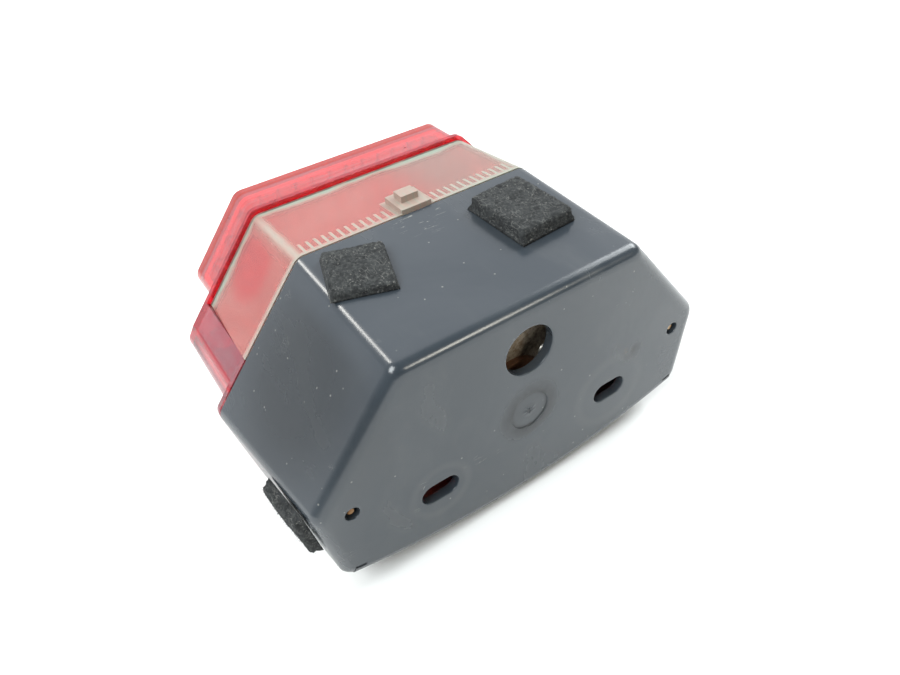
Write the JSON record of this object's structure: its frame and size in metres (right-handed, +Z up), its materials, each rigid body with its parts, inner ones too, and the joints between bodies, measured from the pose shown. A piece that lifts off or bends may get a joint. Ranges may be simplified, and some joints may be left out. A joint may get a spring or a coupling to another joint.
{
  "type": "tail light",
  "caption": "Six-sided motorcycle tail light: black case with slotted back, stepped red lens, clear plate window, bayonet bulb.",
  "frame": {"origin": "midway between the two mounting slots, on the mounting face", "axes": "+Y out of the mounting face, towards what the lamp is bolted to; the lens looks along -Y; +Z up, with the plate window on top; +X along the slots"},
  "size_m": [0.1164, 0.0824, 0.0655],
  "materials": {
    "black_case_plastic": "satin black ABS, fine scratches",
    "red_lens_plastic": "translucent red acrylic",
    "clear_window_plastic": "clear acrylic, hazy with age",
    "soft_seal": "matt black rubber",
    "rusty_screw": "tarnished, light rust",
    "rusty_plate_steel": "steel with brown surface rust",
    "plated_screw": "dull zinc plate",
    "plated_shell": "brass, dull",
    "phenolic": "brown phenolic board",
    "tinned_brass": "brass, dull",
    "spring_steel": "bright wire",
    "cap_brass": "brass",
    "cap_glass_black": "black glass",
    "solder": "dull solder",
    "clear_glass": "clear",
    "tungsten": "dark grey wire",
    "black_foam": "coarse fibrous foam"
  },
  "bodies": {
    "case": {"housing": "black_case_plastic", "lens_gasket": "soft_seal", "bulb_plate": "rusty_plate_steel", "plate_screws": "plated_screw", "socket_shell": "plated_shell", "socket_rivets": "plated_screw", "socket_insulator": "phenolic", "terminal_tabs": "tinned_brass", "earth_tab": "tinned_brass", "contact_springs": "spring_steel", "foam_pad_top_left": "black_foam", "foam_pad_top_right": "black_foam", "foam_pad_side_left": "black_foam", "foam_pad_side_right": "black_foam"},
    "lens_unit": {"lens": "red_lens_plastic", "plate_window": "clear_window_plastic"},
    "screw_lift_left": {"screw_washer_left": "soft_seal"},
    "screw_lift_right": {"screw_washer_right": "soft_seal"},
    "screw_left": {"lens_screw_left": "rusty_screw"},
    "screw_right": {"lens_screw_right": "rusty_screw"},
    "contacts": {"contact_plungers": "tinned_brass"},
    "bulb": {"bulb_cap": "cap_brass", "bulb_pins": "cap_brass", "cap_insulator": "cap_glass_black", "cap_contacts": "solder", "bulb_glass": "clear_glass", "bulb_stem": "clear_glass", "filament_supports": "spring_steel", "filaments": "tungsten"}
  },
  "joints": [
    {"name": "lens_slide", "type": "slide", "parent": "case", "child": "lens_unit", "axis": [0, -1, 0], "range_m": [0, 0.075]},
    {"name": "screw_left_lift", "type": "slide", "parent": "lens_unit", "child": "screw_lift_left", "axis": [0, -1, 0], "range_m": [0, 0.0112]},
    {"name": "screw_left_turn", "type": "hinge", "parent": "screw_lift_left", "child": "screw_left", "pos_m": [0.0455, -0.045, 0.00885], "axis": [0, -1, 0], "range_deg": [0, 2880]},
    {"name": "screw_right_lift", "type": "slide", "parent": "lens_unit", "child": "screw_lift_right", "axis": [0, -1, 0], "range_m": [0, 0.0112]},
    {"name": "screw_right_turn", "type": "hinge", "parent": "screw_lift_right", "child": "screw_right", "pos_m": [-0.0455, -0.045, 0.00885], "axis": [0, -1, 0], "range_deg": [0, 2880]},
    {"name": "bulb_push", "type": "slide", "parent": "case", "child": "contacts", "axis": [0, 1, 0], "range_m": [0, 0.002], "stiffness_N_per_m": 2500, "springref_m": -0.003, "deforming": ["contact_springs"]},
    {"name": "bulb_twist", "type": "hinge", "parent": "contacts", "child": "bulb", "pos_m": [0, -0.025, 0.011], "axis": [0, 1, 0], "range_deg": [-25, 0]}
  ],
  "couplings": [
    {"joint": "screw_left_turn", "follows": "screw_left_lift", "rad_per_m": 4487.9},
    {"joint": "screw_right_turn", "follows": "screw_right_lift", "rad_per_m": 4487.9}
  ]
}
